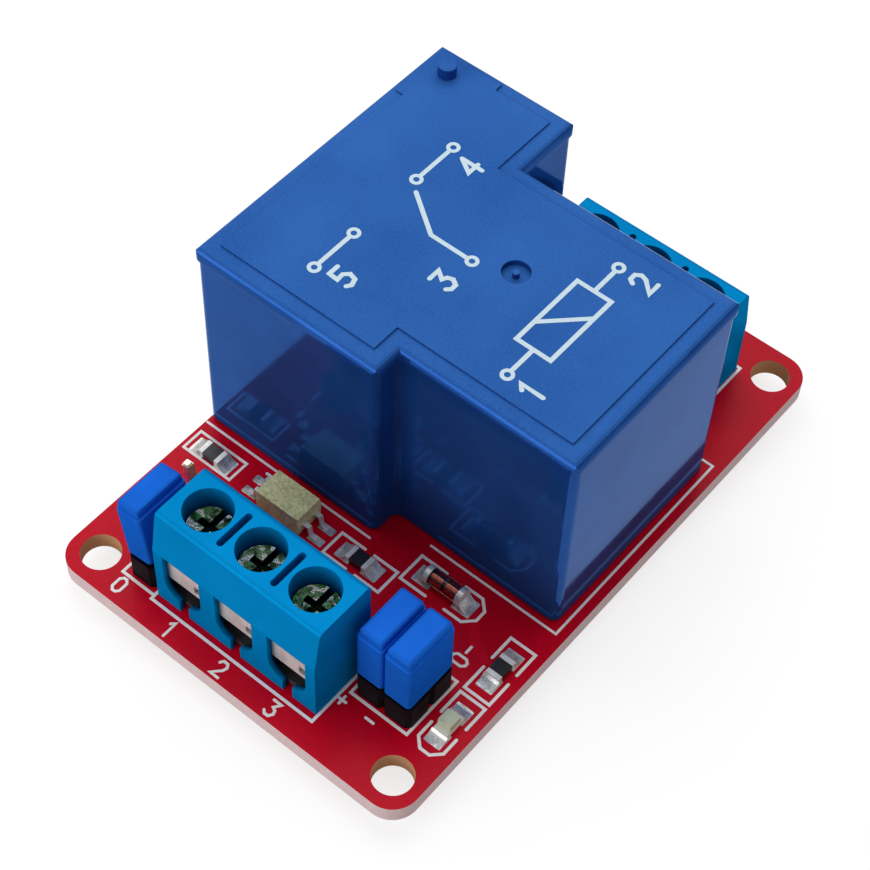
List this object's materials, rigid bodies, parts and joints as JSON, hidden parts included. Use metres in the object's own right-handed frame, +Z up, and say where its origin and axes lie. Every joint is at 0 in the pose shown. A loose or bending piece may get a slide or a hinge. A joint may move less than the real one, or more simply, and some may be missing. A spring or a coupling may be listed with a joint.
{
  "type": "relay module board",
  "caption": "Red circuit board with a sealed blue power relay, screw terminal blocks for the trigger side and the load side, and jumper caps on pin headers.",
  "frame": {"origin": "centre of the four mounting holes, on the underside of the circuit board", "axes": "+X across the board to the supply jumpers' side, +Y along the board from the input terminals to the output terminals, +Z up out of the component side"},
  "size_m": [0.034, 0.0524, 0.0244],
  "materials": {
    "pcb": "glossy solder mask over glass-fibre laminate",
    "solder": "bright solder",
    "relay_shell": "glossy moulded plastic",
    "relay_inside": "satin moulded plastic",
    "bobbin": "satin moulded plastic",
    "winding": "enamelled copper wire",
    "iron": "plated soft iron",
    "spring_metal": "bare spring alloy",
    "terminal_metal": "tin-plated at the tails",
    "tinned": "tin plating",
    "block_plastic": "satin moulded plastic",
    "screw_metal": "zinc plating",
    "header_plastic": "satin moulded plastic",
    "pin_metal": "gold flash",
    "cap_plastic": "satin moulded plastic",
    "opto_plastic": "matt moulding compound",
    "resistor_black": "black glaze on ceramic",
    "diode_glass": "clear glass",
    "led_white": "white laminate",
    "led_lens": "water-clear resin",
    "chip_black": "matt moulding compound"
  },
  "bodies": {
    "board": {"pcb": "pcb", "relay_cover": "relay_shell", "relay_base": "relay_inside", "coil_bobbin": "bobbin", "coil_winding": "winding", "coil_core": "iron", "yoke": "iron", "no_terminal": "terminal_metal", "nc_terminal": "terminal_metal", "common_terminal": "terminal_metal", "coil_pins": "tinned", "input_housing": "block_plastic", "input_contact_1": "tinned", "input_contact_2": "tinned", "input_contact_3": "tinned", "output_housing": "block_plastic", "output_contact_1": "tinned", "output_contact_2": "tinned", "output_contact_3": "tinned", "trigger_header": "header_plastic", "trigger_pins": "pin_metal", "supply_header": "header_plastic", "supply_pins": "pin_metal", "optocoupler": "opto_plastic", "optocoupler_leads": "tinned", "resistor_1": "resistor_black", "resistor_1_ends": "tinned", "resistor_2": "resistor_black", "resistor_2_ends": "tinned", "resistor_3": "resistor_black", "resistor_3_ends": "tinned", "diode": "diode_glass", "diode_ends": "tinned", "light_carrier": "led_white", "light_lens": "led_lens", "transistor": "chip_black", "transistor_leads": "tinned", "small_part_solder": "solder", "tail_solder": "solder"},
    "armature": {"armature": "iron", "contact_spring": "spring_metal"},
    "input_clamp_1": {"input_clamp_1": "tinned"},
    "input_screw_1": {"input_screw_1": "screw_metal"},
    "input_clamp_2": {"input_clamp_2": "tinned"},
    "input_screw_2": {"input_screw_2": "screw_metal"},
    "input_clamp_3": {"input_clamp_3": "tinned"},
    "input_screw_3": {"input_screw_3": "screw_metal"},
    "output_clamp_1": {"output_clamp_1": "tinned"},
    "output_screw_1": {"output_screw_1": "screw_metal"},
    "output_clamp_2": {"output_clamp_2": "tinned"},
    "output_screw_2": {"output_screw_2": "screw_metal"},
    "output_clamp_3": {"output_clamp_3": "tinned"},
    "output_screw_3": {"output_screw_3": "screw_metal"},
    "trigger_jumper": {"trigger_jumper": "cap_plastic", "trigger_jumper_clip": "pin_metal"},
    "supply_jumper_1": {"supply_jumper_1": "cap_plastic", "supply_jumper_1_clip": "pin_metal"},
    "supply_jumper_2": {"supply_jumper_2": "cap_plastic", "supply_jumper_2_clip": "pin_metal"}
  },
  "joints": [
    {"name": "armature_tip", "type": "hinge", "parent": "board", "child": "armature", "pos_m": [-0.0036, 0.0031, 0.0159], "axis": [0, 1, 0], "range_deg": [0, 5], "stiffness_Nm_per_rad": 0.03, "springref_deg": -5.73},
    {"name": "input_clamp_1_travel", "type": "slide", "parent": "board", "child": "input_clamp_1", "axis": [0, 0, 1], "range_m": [-0.0012, 0.0012]},
    {"name": "input_screw_1_turn", "type": "hinge", "parent": "input_clamp_1", "child": "input_screw_1", "pos_m": [-0.0058, -0.0202, 0.0083], "axis": [0, 0, 1], "range_deg": [-864, 864]},
    {"name": "input_clamp_2_travel", "type": "slide", "parent": "board", "child": "input_clamp_2", "axis": [0, 0, 1], "range_m": [-0.0012, 0.0012]},
    {"name": "input_screw_2_turn", "type": "hinge", "parent": "input_clamp_2", "child": "input_screw_2", "pos_m": [-0.00072, -0.0202, 0.0083], "axis": [0, 0, 1], "range_deg": [-864, 864]},
    {"name": "input_clamp_3_travel", "type": "slide", "parent": "board", "child": "input_clamp_3", "axis": [0, 0, 1], "range_m": [-0.0012, 0.0012]},
    {"name": "input_screw_3_turn", "type": "hinge", "parent": "input_clamp_3", "child": "input_screw_3", "pos_m": [0.00436, -0.0202, 0.0083], "axis": [0, 0, 1], "range_deg": [-864, 864]},
    {"name": "output_clamp_1_travel", "type": "slide", "parent": "board", "child": "output_clamp_1", "axis": [0, 0, 1], "range_m": [-0.0012, 0.0012]},
    {"name": "output_screw_1_turn", "type": "hinge", "parent": "output_clamp_1", "child": "output_screw_1", "pos_m": [0.00918, 0.01905, 0.0083], "axis": [0, 0, 1], "range_deg": [-864, 864]},
    {"name": "output_clamp_2_travel", "type": "slide", "parent": "board", "child": "output_clamp_2", "axis": [0, 0, 1], "range_m": [-0.0012, 0.0012]},
    {"name": "output_screw_2_turn", "type": "hinge", "parent": "output_clamp_2", "child": "output_screw_2", "pos_m": [0.0041, 0.01905, 0.0083], "axis": [0, 0, 1], "range_deg": [-864, 864]},
    {"name": "output_clamp_3_travel", "type": "slide", "parent": "board", "child": "output_clamp_3", "axis": [0, 0, 1], "range_m": [-0.0012, 0.0012]},
    {"name": "output_screw_3_turn", "type": "hinge", "parent": "output_clamp_3", "child": "output_screw_3", "pos_m": [-0.00098, 0.01905, 0.0083], "axis": [0, 0, 1], "range_deg": [-864, 864]},
    {"name": "trigger_jumper_pull", "type": "slide", "parent": "board", "child": "trigger_jumper", "axis": [-0.1392, 0, 0.9903], "range_m": [0, 0.006]},
    {"name": "supply_jumper_1_pull", "type": "slide", "parent": "board", "child": "supply_jumper_1", "axis": [0, 0, 1], "range_m": [0, 0.006]},
    {"name": "supply_jumper_2_pull", "type": "slide", "parent": "board", "child": "supply_jumper_2", "axis": [0, 0, 1], "range_m": [0, 0.006]}
  ],
  "couplings": [
    {"joint": "input_screw_1_turn", "follows": "input_clamp_1_travel", "rad_per_m": 12566},
    {"joint": "input_screw_2_turn", "follows": "input_clamp_2_travel", "rad_per_m": 12566},
    {"joint": "input_screw_3_turn", "follows": "input_clamp_3_travel", "rad_per_m": 12566},
    {"joint": "output_screw_1_turn", "follows": "output_clamp_1_travel", "rad_per_m": 12566},
    {"joint": "output_screw_2_turn", "follows": "output_clamp_2_travel", "rad_per_m": 12566},
    {"joint": "output_screw_3_turn", "follows": "output_clamp_3_travel", "rad_per_m": 12566}
  ]
}
